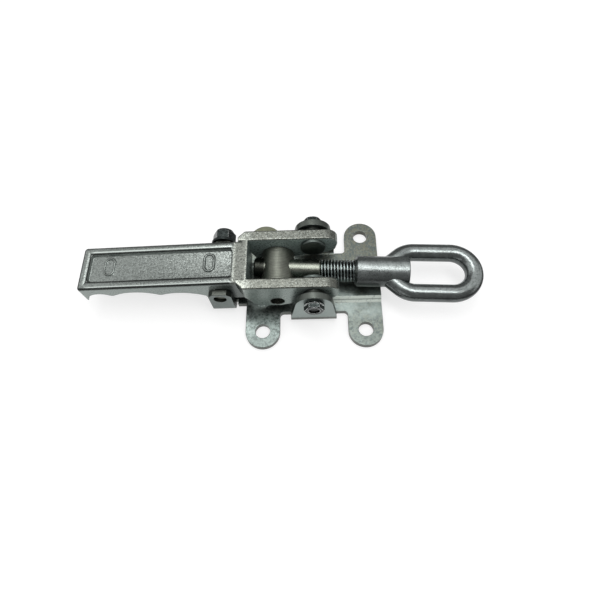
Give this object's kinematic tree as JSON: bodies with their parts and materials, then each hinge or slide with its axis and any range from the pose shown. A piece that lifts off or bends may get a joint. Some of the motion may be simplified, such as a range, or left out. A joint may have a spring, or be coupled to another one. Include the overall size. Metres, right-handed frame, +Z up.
{
  "type": "draw latch",
  "caption": "Over-centre draw latch with a cast lever handle, a threaded draw bolt and a turning link eye.",
  "frame": {"origin": "centre of the four ear holes, on the underside of the base", "axes": "+X along the latch towards the link eye, +Y across it, +Z up from the mounting face"},
  "size_m": [0.2508, 0.09, 0.0366],
  "materials": {
    "plated_base": "zinc plated stamping, mottled grey, satin",
    "cast_handle": "zinc plated casting, grainy grey",
    "turned_steel": "turned and plated steel with fine lines",
    "bright_link": "smooth plated steel with bright bands",
    "dark_fastener": "dark oiled steel with bright edges"
  },
  "bodies": {
    "base": {"base_plate": "plated_base", "pivot_pin_near": "turned_steel", "pivot_pin_far": "turned_steel", "pivot_nut_near": "dark_fastener", "pivot_nut_far": "dark_fastener", "pivot_washer_near": "turned_steel", "pivot_washer_far": "turned_steel", "stop_stud": "turned_steel", "stop_washer": "turned_steel", "stop_nut": "dark_fastener"},
    "lever": {"handle": "cast_handle"},
    "bolt": {"trunnion": "turned_steel", "draw_bolt": "turned_steel"},
    "link": {"link_socket": "bright_link", "link_eye": "bright_link"}
  },
  "joints": [
    {"name": "handle_pivot", "type": "hinge", "parent": "base", "child": "lever", "pos_m": [0.0005, 0, 0.028], "axis": [0, 1, 0], "range_deg": [0, 110]},
    {"name": "link_pivot", "type": "hinge", "parent": "lever", "child": "bolt", "pos_m": [-0.0222, 0, 0.0185], "axis": [0, 1, 0], "range_deg": [-110, 0]},
    {"name": "link_turn", "type": "hinge", "parent": "bolt", "child": "link", "pos_m": [-0.0222, 0.002, 0.0185], "axis": [0.9986, -0.0523, 0], "continuous": true}
  ],
  "couplings": [
    {"joint": "link_pivot", "follows": "handle_pivot", "ratio": -1}
  ]
}
